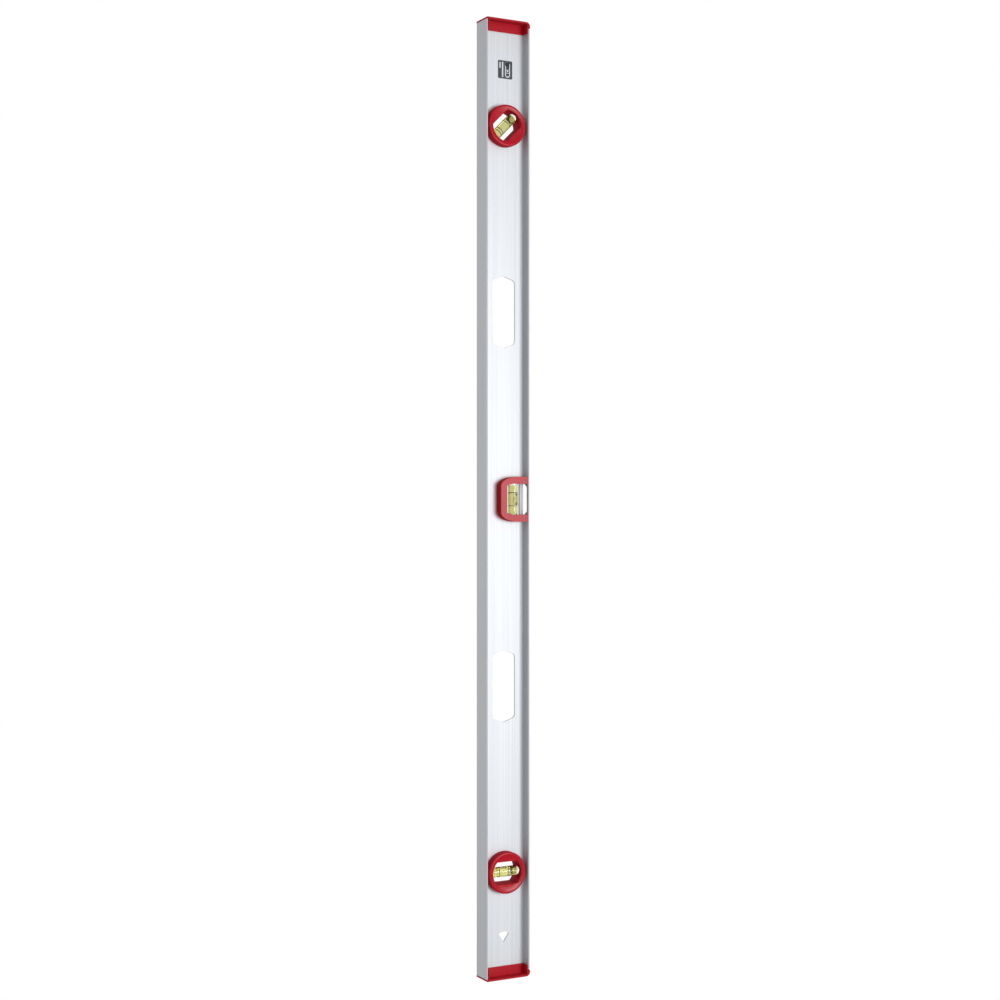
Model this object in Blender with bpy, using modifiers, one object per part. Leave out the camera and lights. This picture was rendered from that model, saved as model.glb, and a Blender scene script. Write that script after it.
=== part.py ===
"""Spirit level with a double-T beam, three vials in moulded housings and two end caps.

X runs along the level, Y across its width, and Z up from the base measuring face.
The slanted vial is towards -X and the plumb vial towards +X.
"""

from math import asin, cos, degrees, pi, radians, sin, tan

import bmesh
import bpy
from mathutils import Euler, Matrix, Vector

MM = 0.001

# Whole level
LENGTH = 1200 * MM  # over both end caps
HEIGHT = 61.6 * MM  # between the two measuring faces
WIDTH = 27 * MM  # of both flanges
GAP = 0.3 * MM  # left between pieces that touch

# Extruded beam
FLANGE = 2.5 * MM
WEB = 2.2 * MM
TIP_OUTSIDE = 0.5 * MM  # flange tip radius at the measuring face
TIP_INSIDE = 1.9 * MM  # flange tip radius on the inside
ROOT_FILLET = 0.8 * MM  # where the web meets a flange

# Hand holes and hang hole in the web
HAND_HOLE_PLACE = 235 * MM  # from the middle of the level to the middle of a hole
HAND_HOLE_LENGTH = 90.4 * MM
HAND_HOLE_HEIGHT = 32 * MM
HAND_HOLE_RISE = 5.5 * MM  # of the pointed ends
HAND_HOLE_CORNER = 6 * MM
HANG_HOLE_FROM_END = 50 * MM  # from the end of the level to the middle of the hole
HANG_HOLE_LENGTH = 13 * MM  # from its point to the crown of its wide end
HANG_HOLE_SPREAD = 35  # degrees from the length of the level to either straight side
HANG_HOLE_CORNER = 1.2 * MM

# End caps
CAP_DEPTH = 13.8 * MM  # from the end of the level to the end of the lining
CAP_PLATE = 2.2 * MM
CAP_LINING = 1.2 * MM  # thickness beside the web and inside the flanges
CAP_PROUD = 0.8 * MM  # of the plate past the flange tips
CAP_CORNER = 5.5 * MM  # radius of the corner at the top measuring face
CAP_LIP = 7.5 * MM  # length of the shoulder over the trimmed flange

# Vials, all three alike but for their bubble
TUBE_RADIUS = 6.35 * MM
TUBE_LENGTH = 44 * MM  # with its plug
BORE_RADIUS = 4.75 * MM
BORE_END = 4.3 * MM  # solid acrylic beyond each end of the bore
PLUG_HEAD = 1.2 * MM
RING_SPACING = 16.6 * MM
RING_WIDTH = 0.8 * MM
RING_THICKNESS = 0.4 * MM
GROOVE_DEPTH = 0.55 * MM
LEVEL_BUBBLE = (14 * MM, 6.4 * MM, 3.4 * MM)  # length, width and height
END_BUBBLE = (9 * MM, 7.2 * MM, 5.6 * MM)

# Round housings of the slanted and the plumb vial
ROUND_FROM_END = 132 * MM  # from the end of the level to the middle of the housing
ROUND_HEIGHT = HEIGHT / 2
ROUND_RADIUS = 26.2 * MM
ROUND_FACE = 11.6 * MM  # from the middle of the web to the rim
RIM_WIDTH = 4.2 * MM
RIM_RAISED = 0.9 * MM
RIM_EDGE = 2 * MM  # radius of the rounded edge outside the rim
SPIGOT_RADIUS = 23 * MM  # the part that fills the hole in the web
WINDOW_RADIUS = 20 * MM
WINDOW_HALF_WIDTH = 14.2 * MM
APERTURE_HALF_LENGTH = 17.3 * MM  # of the hole right through, along the vial
APERTURE_CORNER = (3.3 * MM, 4.7 * MM)  # cut off it along and across the vial
SOCKET_TOP = 3 * MM  # height of the blocks that hold the ends of the vial

# Housing of the levelling vial
LEVEL_AXIS_HEIGHT = HEIGHT - 17 * MM
LEVEL_HOUSING_LENGTH = 56.6 * MM
LEVEL_HOUSING_BOTTOM = HEIGHT - 40.6 * MM
LEVEL_HOUSING_FACE = 12.65 * MM
LEVEL_CORNER = (12 * MM, 24 * MM)  # along and up
LEVEL_WINDOW_LENGTH = 39 * MM
LEVEL_WINDOW_BOTTOM = HEIGHT - 31.9 * MM
LEVEL_WINDOW_CORNER = (2.3 * MM, 9 * MM)  # cut off it along and up
LEVEL_SLOT_MARGIN = 2 * MM  # of the slot in the web past the ends of the vial
LEVEL_SLOT_TOP = HEIGHT - 7.5 * MM

# Reading window in the top flange
READING_LENGTH = 42 * MM
READING_RISE = 5.5 * MM  # of its pointed ends
READING_RAIL = 3.9 * MM  # flange left on each side
READING_DEPTH = 0.5 * MM  # cut into the web under it

HALF_LENGTH = LENGTH / 2
HALF_WIDTH = WIDTH / 2
ROUND_PLACE = HALF_LENGTH - ROUND_FROM_END
HANG_HOLE_PLACE = HALF_LENGTH - HANG_HOLE_FROM_END
WEB_FACE = WEB / 2 + GAP
INSIDE_TOP = HEIGHT - FLANGE - GAP
BEAM_HALF_LENGTH = HALF_LENGTH - CAP_PLATE - GAP
BORE_HALF_LENGTH = TUBE_LENGTH / 2 - BORE_END
LIQUID_HALF_LENGTH = BORE_HALF_LENGTH - GAP
LIQUID_RADIUS = BORE_RADIUS - GAP
SEAT_RADIUS = TUBE_RADIUS + GAP
SEAT_HALF_LENGTH = TUBE_LENGTH / 2 + GAP
GROOVE_RADIUS = TUBE_RADIUS - GROOVE_DEPTH  # at the bottom of a ring's groove
PAST = 5 * MM  # how far a cutter runs past what it cuts


def new_collections():
    """Empty the scene and make the collections of the parts, their cutters and the beam's holes."""
    for item in list(bpy.data.objects):
        bpy.data.objects.remove(item)
    names = ("spirit_level", "cutters", "beam_holes")
    made = [bpy.data.collections.new(name) for name in names]
    for collection in made:
        bpy.context.scene.collection.children.link(collection)
    return made


PARTS, CUTTERS, HOLES = new_collections()


def finish(name, colour, roughness, metallic=0.0):
    """A material with one Principled shader; its colour is linear."""
    material = bpy.data.materials.new(name)
    material.use_nodes = True
    shader = material.node_tree.nodes["Principled BSDF"]
    shader.inputs["Base Color"].default_value = (*colour, 1.0)
    shader.inputs["Roughness"].default_value = roughness
    shader.inputs["Metallic"].default_value = metallic
    return material


ALUMINIUM = finish("satin_aluminium", (0.78, 0.79, 0.8), 0.35, 1.0)
RED_PLASTIC = finish("red_plastic", (0.42, 0.0, 0.012), 0.35)
ACRYLIC = finish("clear_acrylic", (0.9, 0.92, 0.88), 0.05)
LIQUID = finish("vial_liquid", (0.62, 0.68, 0.12), 0.1)
AIR = finish("bubble_air", (0.8, 0.84, 0.7), 0.1)
RING_BLACK = finish("ring_black", (0.01, 0.01, 0.01), 0.5)


def add(name, mesh, material, parent=None):
    """A part of this material."""
    piece = bpy.data.objects.new(name, mesh)
    PARTS.objects.link(piece)
    piece.parent = parent
    mesh.materials.append(material)
    return piece


def add_cutter(name, mesh, collection, parent=None):
    """A shape that other pieces are cut with or joined to."""
    piece = bpy.data.objects.new(name, mesh)
    collection.objects.link(piece)
    piece.parent = parent
    piece.hide_render = True
    piece.display_type = "WIRE"
    return piece


def smooth(mesh):
    mesh.shade_smooth()
    mesh.set_sharp_from_angle(angle=radians(35))


def rounded(corners, steps=4):
    """The points of an outline through (x, y, radius) corners, with an arc at each radius."""
    points = []
    for index, (x, y, radius) in enumerate(corners):
        corner = Vector((x, y))
        if radius == 0:
            points.append(corner)
            continue
        back = (Vector(corners[index - 1][:2]) - corner).normalized()
        ahead = (Vector(corners[(index + 1) % len(corners)][:2]) - corner).normalized()
        half = back.angle(ahead) / 2
        middle = corner + (back + ahead).normalized() * radius / sin(half)
        first = corner + back * radius / tan(half) - middle
        last = corner + ahead * radius / tan(half) - middle
        sweep = pi - 2 * half
        for step in range(steps + 1):
            part = sweep * step / steps
            points.append(middle + (first * sin(sweep - part) + last * sin(part)) / sin(sweep))
    return points


def arc(middle, radii, start, end, steps):
    """Points on an ellipse's arc, from one angle in degrees to another."""
    turns = [radians(start + (end - start) * step / steps) for step in range(steps + 1)]
    return [Vector((middle[0] + radii[0] * cos(t), middle[1] + radii[1] * sin(t))) for t in turns]


def extruded(name, outline, bottom, top):
    """A mesh of a flat outline in XY, filled and extruded from bottom to top along Z."""
    shape = bmesh.new()
    points = [shape.verts.new((x, y, bottom)) for x, y in outline]
    edges = [shape.edges.new(pair) for pair in zip(points, points[1:] + points[:1])]
    base = bmesh.ops.edgeloop_fill(shape, edges=edges)["faces"]
    raised = bmesh.ops.extrude_face_region(shape, geom=base)["geom"]
    corners = [part for part in raised if isinstance(part, bmesh.types.BMVert)]
    bmesh.ops.translate(shape, verts=corners, vec=(0, 0, top - bottom))
    bmesh.ops.recalc_face_normals(shape, faces=shape.faces)
    mesh = bpy.data.meshes.new(name)
    shape.to_mesh(mesh)
    shape.free()
    smooth(mesh)
    return mesh


def box(name, low, high):
    """A mesh of a box between two opposite corners."""
    shape = bmesh.new()
    bmesh.ops.create_cube(shape, size=1)
    size = [b - a for a, b in zip(low, high)]
    bmesh.ops.scale(shape, verts=shape.verts, vec=size)
    bmesh.ops.translate(shape, verts=shape.verts, vec=[(a + b) / 2 for a, b in zip(low, high)])
    mesh = bpy.data.meshes.new(name)
    shape.to_mesh(mesh)
    shape.free()
    return mesh


def rod(name, radius, half_length, sides=28):
    """A mesh of a cylinder along X."""
    shape = bmesh.new()
    bmesh.ops.create_cone(
        shape,
        cap_ends=True,
        segments=sides,
        radius1=radius,
        radius2=radius,
        depth=2 * half_length,
        matrix=Matrix.Rotation(pi / 2, 4, "Y"),
    )
    mesh = bpy.data.meshes.new(name)
    shape.to_mesh(mesh)
    shape.free()
    return mesh


def turned(name, profile, material, parent, sides=28, closed=False):
    """A piece turned about its own Z from a profile of (radius, height) points, top to bottom."""
    mesh = bpy.data.meshes.new(name)
    points = [(radius, 0, height) for radius, height in profile]
    edges = [(index, index + 1) for index in range(len(points) - 1)]
    if closed:
        edges.append((len(points) - 1, 0))
    mesh.from_pydata(points, edges, [])
    piece = add(name, mesh, material, parent)
    screw = piece.modifiers.new("turn", "SCREW")
    screw.axis = "Z"
    screw.steps = sides
    screw.render_steps = sides
    screw.use_merge_vertices = True
    screw.merge_threshold = 1e-6
    screw.use_smooth_shade = True
    return piece


def combine(piece, tool, operation="DIFFERENCE"):
    """Cut a tool from a piece, or join it on."""
    change = piece.modifiers.new(tool.name, "BOOLEAN")
    change.operation = operation
    change.object = tool
    change.solver = "EXACT"


def frame(name, place, tilt, roll=0.0):
    """An empty that carries a vial or its housings."""
    empty = bpy.data.objects.new(name, None)
    empty.empty_display_size = 20 * MM
    PARTS.objects.link(empty)
    empty.location = place
    empty.rotation_euler = (roll, tilt, 0)
    return empty


# Turns that lay a mesh made in XY, extruded along Z, into the level
ACROSS = Euler((pi / 2, 0, 0))  # outline in X and Z, extruded towards the front
ALONG = Euler((pi / 2, 0, pi / 2))  # outline in Y and Z, extruded along X
BACKWARD = Euler((pi / 2, 0, pi))  # as ACROSS, towards the back
LYING = Euler((0, pi / 2, 0))  # turned about Z, laid along X


def beam():
    """The double-T extrusion with every hole in it."""
    half_web = WEB / 2
    right = [
        (HALF_WIDTH, 0, TIP_OUTSIDE),
        (HALF_WIDTH, FLANGE, TIP_INSIDE),
        (half_web, FLANGE, ROOT_FILLET),
        (half_web, HEIGHT - FLANGE, ROOT_FILLET),
        (HALF_WIDTH, HEIGHT - FLANGE, TIP_INSIDE),
        (HALF_WIDTH, HEIGHT, TIP_OUTSIDE),
    ]
    left = [(-y, z, radius) for y, z, radius in reversed(right)]
    profile = rounded(right + left, steps=3)
    mesh = extruded("beam", profile, -BEAM_HALF_LENGTH, BEAM_HALF_LENGTH)
    piece = add("beam", mesh, ALUMINIUM)
    piece.rotation_euler = ALONG
    web_hole("hang_hole", hang_hole(), (HANG_HOLE_PLACE, HEIGHT / 2))
    web_hole("level_slot", level_slot(), (0, 0))
    for side, sign in (("left", -1), ("right", 1)):
        web_hole(f"{side}_hand_hole", hand_hole(), (sign * HAND_HOLE_PLACE, HEIGHT / 2))
        circle = arc((0, 0), [SPIGOT_RADIUS + GAP] * 2, 0, 352.5, 47)
        web_hole(f"{side}_vial_hole", circle, (sign * ROUND_PLACE, ROUND_HEIGHT))
        end = sorted((sign * (HALF_LENGTH - CAP_LIP - GAP), sign * HALF_LENGTH))
        low = (end[0], -WIDTH, HEIGHT - FLANGE - GAP)
        high = (end[1], WIDTH, HEIGHT + PAST)
        add_cutter(f"{side}_flange_trim", box("trim", low, high), HOLES)
    reading = extruded("reading_window", reading_window(), -FLANGE - READING_DEPTH, PAST)
    add_cutter("reading_window", reading, HOLES).location.z = HEIGHT
    cut = piece.modifiers.new("holes", "BOOLEAN")
    cut.operand_type = "COLLECTION"
    cut.collection = HOLES
    cut.solver = "EXACT"


def web_hole(name, outline, place):
    """A hole of this outline through the web."""
    cutter = add_cutter(name, extruded(name, outline, -PAST, PAST), HOLES)
    cutter.rotation_euler = ACROSS
    cutter.location = (place[0], 0, place[1])


def pointed(half_length, half_height, rise, radius):
    """A long hexagon with rounded corners, its shallow points at both ends."""
    straight = half_length - rise
    return rounded(
        [
            (half_length, 0, radius),
            (straight, half_height, radius),
            (-straight, half_height, radius),
            (-half_length, 0, radius),
            (-straight, -half_height, radius),
            (straight, -half_height, radius),
        ]
    )


def hand_hole():
    return pointed(HAND_HOLE_LENGTH / 2, HAND_HOLE_HEIGHT / 2, HAND_HOLE_RISE, HAND_HOLE_CORNER)


def hang_hole():
    """A fan: two straight sides to a point towards the end of the level, and a round wide end."""
    point = HANG_HOLE_LENGTH / 2
    start = 180 - HANG_HOLE_SPREAD
    crown = arc((point, 0), [HANG_HOLE_LENGTH] * 2, start, 360 - start, 10)
    corners = [(*spot, 0) for spot in crown]
    corners[0] = (*crown[0], HANG_HOLE_CORNER)
    corners[-1] = (*crown[-1], HANG_HOLE_CORNER)
    return rounded([(point, 0, 0), *corners])


def level_slot():
    half_length = TUBE_LENGTH / 2 + LEVEL_SLOT_MARGIN
    bottom = LEVEL_WINDOW_BOTTOM - GAP
    return rounded(
        [
            (half_length, bottom, ROOT_FILLET),
            (half_length, LEVEL_SLOT_TOP, ROOT_FILLET),
            (-half_length, LEVEL_SLOT_TOP, ROOT_FILLET),
            (-half_length, bottom, ROOT_FILLET),
        ]
    )


def reading_window():
    return pointed(READING_LENGTH / 2, HALF_WIDTH - READING_RAIL, READING_RISE, TIP_OUTSIDE)


def end_cap(name, turn):
    """A plate over the end of the beam, a shoulder over its top flange, and two linings."""
    plate_inside = HALF_LENGTH - CAP_PLATE
    outline = rounded(
        [
            (plate_inside, GAP, 0),
            (HALF_LENGTH, GAP, TIP_OUTSIDE),
            (HALF_LENGTH, HEIGHT - GAP / 2, CAP_CORNER),
            (HALF_LENGTH - CAP_LIP, HEIGHT - GAP / 2, 0),
            (HALF_LENGTH - CAP_LIP, INSIDE_TOP, 0),
            (plate_inside, INSIDE_TOP, 0),
        ],
        steps=6,
    )
    half_width = HALF_WIDTH + CAP_PROUD
    mesh = extruded(name, outline, -half_width, half_width)
    mesh.transform(ACROSS.to_matrix().to_4x4())
    piece = add(name, mesh, RED_PLASTIC)
    piece.rotation_euler.z = turn
    for side, sign in (("front", -1), ("back", 1)):
        inside, outside = sorted((sign * WEB_FACE, sign * HALF_WIDTH))
        low = (HALF_LENGTH - CAP_DEPTH, inside, FLANGE + GAP)
        high = (HALF_LENGTH - CAP_PLATE / 2, outside, INSIDE_TOP)
        block = add_cutter(f"{name}_{side}_block", box("block", low, high), CUTTERS, piece)
        combine(piece, block, "UNION")
        inside, outside = sorted((sign * (WEB_FACE + CAP_LINING), sign * WIDTH))
        low = (HALF_LENGTH - CAP_DEPTH - PAST, inside, FLANGE + GAP + CAP_LINING)
        high = (plate_inside, outside, INSIDE_TOP - CAP_LINING)
        room = add_cutter(f"{name}_{side}_room", box("room", low, high), CUTTERS, piece)
        combine(piece, room)


def round_shell(name, parent, facing):
    """Half of a round housing: a disc with a raised rim, a window and seats for the vial."""
    rim_inside = ROUND_RADIUS - RIM_WIDTH
    dish = ROUND_FACE - RIM_RAISED
    edge_middle = (ROUND_RADIUS - RIM_EDGE, ROUND_FACE - RIM_EDGE)
    profile = [
        (0, dish),
        (rim_inside - RIM_RAISED, dish),
        (rim_inside, ROUND_FACE),
        *arc(edge_middle, [RIM_EDGE] * 2, 90, 0, 3),
        (ROUND_RADIUS, WEB_FACE),
        (SPIGOT_RADIUS, WEB_FACE),
        (SPIGOT_RADIUS, GAP / 2),
        (0, GAP / 2),
    ]
    piece = turned(name, profile, RED_PLASTIC, parent, sides=48)
    piece.rotation_euler = facing
    spread = degrees(asin(WINDOW_HALF_WIDTH / WINDOW_RADIUS))
    radii = [WINDOW_RADIUS] * 2
    right = arc((0, 0), radii, -spread, spread, 8)
    left = arc((0, 0), radii, 180 - spread, 180 + spread, 8)
    top = ROUND_FACE + PAST
    window_mesh = extruded("window", right + left, SOCKET_TOP, top)
    window = add_cutter(f"{name}_window", window_mesh, CUTTERS, piece)
    hole = extruded("aperture", aperture_outline(), -PAST, SOCKET_TOP + PAST)
    aperture = add_cutter(f"{name}_aperture", hole, CUTTERS, piece)
    seat_mesh = rod("seat", SEAT_RADIUS, SEAT_HALF_LENGTH)
    seat = add_cutter(f"{name}_seat", seat_mesh, CUTTERS, piece)
    for cutter in (window, aperture, seat):
        combine(piece, cutter)


def aperture_outline():
    """A rectangle with its corners cut off, as long as the room between the two seats."""
    length, width = APERTURE_HALF_LENGTH, WINDOW_HALF_WIDTH
    along, across = APERTURE_CORNER
    quarter = [(length, width - across), (length - along, width)]
    upper = [*quarter, *((-x, y) for x, y in reversed(quarter))]
    return [Vector(point) for point in [*upper, *((-x, -y) for x, y in upper)]]


def level_shell(name, parent, facing):
    """Half of the levelling vial's housing: a frame that is open towards the top flange."""
    half_length = LEVEL_HOUSING_LENGTH / 2
    half_window = LEVEL_WINDOW_LENGTH / 2
    top = INSIDE_TOP - LEVEL_AXIS_HEIGHT
    bottom = LEVEL_HOUSING_BOTTOM - LEVEL_AXIS_HEIGHT
    sill = LEVEL_WINDOW_BOTTOM - LEVEL_AXIS_HEIGHT
    along, up = LEVEL_CORNER
    left = arc((along - half_length, bottom + up), LEVEL_CORNER, 180, 270, 8)
    right = arc((half_length - along, bottom + up), LEVEL_CORNER, 270, 360, 8)
    cut_along, cut_up = LEVEL_WINDOW_CORNER
    rest = [
        (half_length, top),
        (half_window, top),
        (half_window, sill + cut_up),
        (half_window - cut_along, sill),
        (cut_along - half_window, sill),
        (-half_window, sill + cut_up),
        (-half_window, top),
        (-half_length, top),
    ]
    outline = [*left, *right, *(Vector(point) for point in rest)]
    piece = add(name, extruded(name, outline, WEB_FACE, LEVEL_HOUSING_FACE), RED_PLASTIC, parent)
    piece.rotation_euler = facing
    seat_mesh = rod("seat", SEAT_RADIUS, SEAT_HALF_LENGTH)
    combine(piece, add_cutter(f"{name}_seat", seat_mesh, CUTTERS, piece))


def vial_tube(name, carrier):
    """A thick tube, domed at one end, with a blind bore and a groove for each ring."""
    groove_half = RING_WIDTH / 2 + GAP
    dome = arc((0, TUBE_LENGTH / 2 - TUBE_RADIUS), [TUBE_RADIUS] * 2, 90, 0, 5)
    outside = [(0, TUBE_LENGTH / 2), *dome[1:]]
    for height in (RING_SPACING / 2, -RING_SPACING / 2):
        outside += [
            (TUBE_RADIUS, height + groove_half),
            (GROOVE_RADIUS, height + groove_half),
            (GROOVE_RADIUS, height - groove_half),
            (TUBE_RADIUS, height - groove_half),
        ]
    mouth = PLUG_HEAD + GAP - TUBE_LENGTH / 2
    bore = [
        (TUBE_RADIUS, mouth),
        (BORE_RADIUS, mouth),
        (BORE_RADIUS, BORE_HALF_LENGTH),
        (0, BORE_HALF_LENGTH),
    ]
    return turned(name, outside + bore, ACRYLIC, carrier)


def vial_plug(name, carrier):
    """A shank in the bore under a head as wide as the tube."""
    outer_end = -TUBE_LENGTH / 2
    profile = [
        (0, -BORE_HALF_LENGTH),
        (LIQUID_RADIUS, -BORE_HALF_LENGTH),
        (LIQUID_RADIUS, outer_end + PLUG_HEAD),
        (TUBE_RADIUS, outer_end + PLUG_HEAD),
        (TUBE_RADIUS, outer_end),
        (0, outer_end),
    ]
    return turned(name, profile, ACRYLIC, carrier)


def ring(name, carrier, height):
    """A flat band in its groove."""
    inner = GROOVE_RADIUS + GAP
    outer = inner + RING_THICKNESS
    profile = [
        (inner, height + RING_WIDTH / 2),
        (outer, height + RING_WIDTH / 2),
        (outer, height - RING_WIDTH / 2),
        (inner, height - RING_WIDTH / 2),
    ]
    return turned(name, profile, RING_BLACK, carrier, sides=24, closed=True)


def vial_liquid(name, carrier, bubble_height):
    """The liquid in the bore, flat on top under the channel that the bubble moves in."""
    surface = degrees(asin((LIQUID_RADIUS - bubble_height - GAP) / LIQUID_RADIUS))
    section = arc((0, 0), [LIQUID_RADIUS] * 2, surface, -180 - surface, 20)
    mesh = extruded(name, section, -LIQUID_HALF_LENGTH, LIQUID_HALF_LENGTH)
    add(name, mesh, LIQUID, carrier).rotation_euler = ALONG


def air_bubble(name, carrier, size, place):
    """A flattened ball of air against the top of the bore."""
    shape = bmesh.new()
    bmesh.ops.create_uvsphere(shape, u_segments=16, v_segments=10, radius=0.5)
    bmesh.ops.rotate(shape, verts=shape.verts, matrix=LYING.to_matrix())
    bmesh.ops.scale(shape, verts=shape.verts, vec=size)
    bmesh.ops.translate(shape, verts=shape.verts, vec=(0, 0, LIQUID_RADIUS - size[2] / 2))
    mesh = bpy.data.meshes.new(name)
    shape.to_mesh(mesh)
    shape.free()
    smooth(mesh)
    add(name, mesh, AIR, carrier).location.x = place


def vial(name, carrier, bubble_size, bubble_place):
    """A tube with its plug, liquid, bubble and two rings, along the carrier's X."""
    round_pieces = [
        vial_tube(f"{name}_vial_tube", carrier),
        vial_plug(f"{name}_vial_plug", carrier),
        ring(f"{name}_ring_left", carrier, -RING_SPACING / 2),
        ring(f"{name}_ring_right", carrier, RING_SPACING / 2),
    ]
    for piece in round_pieces:
        piece.rotation_euler = LYING
    vial_liquid(f"{name}_vial_liquid", carrier, bubble_size[2])
    air_bubble(f"{name}_bubble", carrier, bubble_size, bubble_place)


def end_place(bubble_size):
    """Where a bubble rests against the domed end of its vial."""
    return LIQUID_HALF_LENGTH - bubble_size[0] / 2


beam()
end_cap("end_cap_right", 0)
end_cap("end_cap_left", pi)

level_frame = frame("level_vial_frame", (0, 0, LEVEL_AXIS_HEIGHT), 0)
level_shell("level_housing_front", level_frame, ACROSS)
level_shell("level_housing_back", level_frame, BACKWARD)
vial("level", level_frame, LEVEL_BUBBLE, 0)

# The slanted vial rises towards the left end, and its bubble lies on its upper side.
for vial_name, place, rise, roll in (
    ("slant", -ROUND_PLACE, radians(225), pi),
    ("plumb", ROUND_PLACE, radians(-90), 0),
):
    round_place = (place, 0, ROUND_HEIGHT)
    housing_frame = frame(f"{vial_name}_housing_frame", round_place, rise)
    round_shell(f"{vial_name}_housing_front", housing_frame, ACROSS)
    round_shell(f"{vial_name}_housing_back", housing_frame, BACKWARD)
    vial_frame = frame(f"{vial_name}_vial_frame", round_place, rise, roll)
    vial(vial_name, vial_frame, END_BUBBLE, end_place(END_BUBBLE))
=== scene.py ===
from math import asin, cos, degrees, pi, radians, sin, tan

import bmesh
import bpy
from mathutils import Matrix, Vector


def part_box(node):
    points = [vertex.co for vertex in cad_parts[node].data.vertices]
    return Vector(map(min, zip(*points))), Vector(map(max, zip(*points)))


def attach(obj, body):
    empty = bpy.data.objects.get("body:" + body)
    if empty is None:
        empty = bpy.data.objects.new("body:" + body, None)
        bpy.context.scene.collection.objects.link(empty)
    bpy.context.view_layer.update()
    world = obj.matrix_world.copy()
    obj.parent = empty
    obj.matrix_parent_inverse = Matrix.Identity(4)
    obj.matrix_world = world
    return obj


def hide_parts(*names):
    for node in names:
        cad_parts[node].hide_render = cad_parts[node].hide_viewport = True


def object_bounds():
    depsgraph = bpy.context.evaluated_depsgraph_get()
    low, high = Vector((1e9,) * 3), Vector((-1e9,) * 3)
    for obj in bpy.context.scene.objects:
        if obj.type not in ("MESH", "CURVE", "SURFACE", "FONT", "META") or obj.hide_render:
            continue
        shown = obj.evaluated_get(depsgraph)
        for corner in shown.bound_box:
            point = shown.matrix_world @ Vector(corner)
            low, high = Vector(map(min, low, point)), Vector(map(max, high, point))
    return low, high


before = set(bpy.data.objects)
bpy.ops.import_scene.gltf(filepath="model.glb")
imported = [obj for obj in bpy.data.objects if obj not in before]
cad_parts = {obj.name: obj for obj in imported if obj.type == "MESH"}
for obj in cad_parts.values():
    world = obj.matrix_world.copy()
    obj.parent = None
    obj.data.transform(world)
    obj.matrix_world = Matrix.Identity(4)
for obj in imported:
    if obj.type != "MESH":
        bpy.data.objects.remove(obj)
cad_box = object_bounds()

MM = 0.001
scene = bpy.context.scene

# Camera
# The level lies along X in its pose of use. The camera stands in front of it and lower down, and
# is turned so that the slanted vial's end is up, as a level is shown standing on end.
VIEW_RISE = radians(28.5)
CAMERA_DISTANCE = 2214.5 * MM
camera = bpy.data.objects.new("camera", bpy.data.cameras.new("camera"))
scene.collection.objects.link(camera)
scene.camera = camera
ahead = Vector((0, cos(VIEW_RISE), sin(VIEW_RISE)))
picture_up = Vector((-1, 0, 0))
picture_right = ahead.cross(picture_up)
aimed_at = (Vector(cad_box[0]) + Vector(cad_box[1])) / 2
turn = Matrix((picture_right, picture_up, -ahead)).transposed()
camera.matrix_world = Matrix.Translation(aimed_at - ahead * CAMERA_DISTANCE) @ turn.to_4x4()
camera.data.sensor_width = 36
camera.data.lens = 63.4
camera.data.shift_x = -0.0033
camera.data.shift_y = -0.0008
camera.data.clip_end = 50


# Beam
# One aluminium extrusion, a double T: two flanges with the measuring faces, and a thin web. It is
# sawn off, the holes in its web and top flange are milled and deburred, and it is anodised.
FLANGE = 2.5 * MM
WEB = 2.2 * MM
TIP_OUTSIDE = 0.5 * MM  # flange tip radius at the measuring face
TIP_INSIDE = 1.9 * MM  # flange tip radius on the inside
ROOT_FILLET = 0.8 * MM  # where the web meets a flange
HAND_HOLE_PLACE = 235 * MM  # from the middle of the level
HAND_HOLE_HALF = (45.2 * MM, 16 * MM)  # half of its length and of its height
HAND_HOLE_POINT = 5.5 * MM  # length of its shallow point at either end
HAND_HOLE_CORNER = 6 * MM
HANG_HOLE_PLACE = 550 * MM  # from the middle of the level
HANG_HOLE_LENGTH = 13 * MM  # from its point to the crown of its wide end
HANG_HOLE_SPREAD = 35  # degrees from the length of the level to either straight side
HANG_HOLE_CORNER = 1.2 * MM
VIAL_HOLE_RADIUS = 23.3 * MM
LEVEL_SLOT_HALF = 24 * MM  # half of its length
LEVEL_SLOT_TOP = 7.5 * MM  # below the top measuring face
LEVEL_SLOT_BOTTOM = 32.2 * MM  # below the top measuring face
READING_HALF = 21 * MM  # half of the reading window's length
READING_POINT = 5.5 * MM
READING_CORNER = 0.5 * MM
READING_RAIL = 3.9 * MM  # flange left beside the reading window
READING_DEPTH = 0.5 * MM  # cut into the web under it
SHOULDER = 7.5 * MM  # length of flange cut away under each end cap
GAP = 0.3 * MM  # clearance between neighbouring pieces
DEBURR = 0.25 * MM
PAST = 5 * MM  # how far a cutter runs past what it cuts
TRIM_REACH = 30 * MM  # half of the width of the cutter that trims an end of the top flange
CREASE = radians(48)  # faces that meet more sharply than this keep a crisp edge

beam_low, beam_high = (Vector(corner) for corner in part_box("beam"))
half_width = beam_high.y
height = beam_high.z


def arc(middle, radii, start, end, steps):
    """Points on an ellipse's arc, from one angle in degrees to another."""
    turns = [radians(start + (end - start) * step / steps) for step in range(steps + 1)]
    return [Vector((middle[0] + radii[0] * cos(t), middle[1] + radii[1] * sin(t))) for t in turns]


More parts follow.
